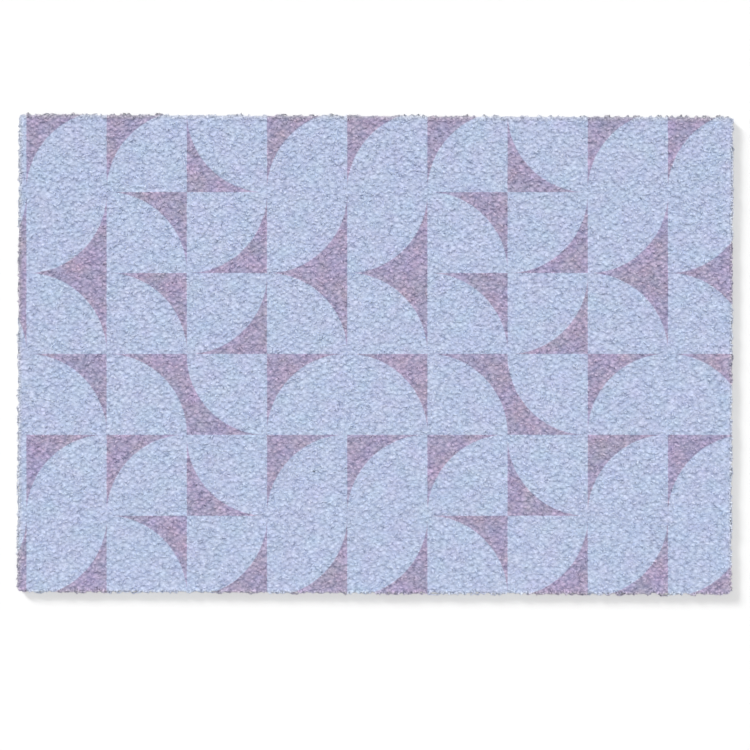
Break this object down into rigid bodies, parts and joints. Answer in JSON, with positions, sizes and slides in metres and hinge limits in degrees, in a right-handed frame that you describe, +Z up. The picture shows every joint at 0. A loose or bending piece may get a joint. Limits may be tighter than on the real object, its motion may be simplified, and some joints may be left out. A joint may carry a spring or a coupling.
{
  "type": "doormat",
  "caption": "Flat rectangular doormat of curly looped vinyl strands, printed with a two-colour repeat of quarter-circle tiles.",
  "frame": {"origin": "middle of the underside, where the mat lies on the ground", "axes": "+X along the long side, +Y along the short side towards the top of the print, +Z up through the thickness"},
  "size_m": [0.914, 0.612, 0.01],
  "materials": {
    "vinyl_loops": "Curly vinyl strands, matt, printed light blue with mauve tile corners"
  },
  "bodies": {
    "root": {"mat": "vinyl_loops"}
  },
  "joints": []
}
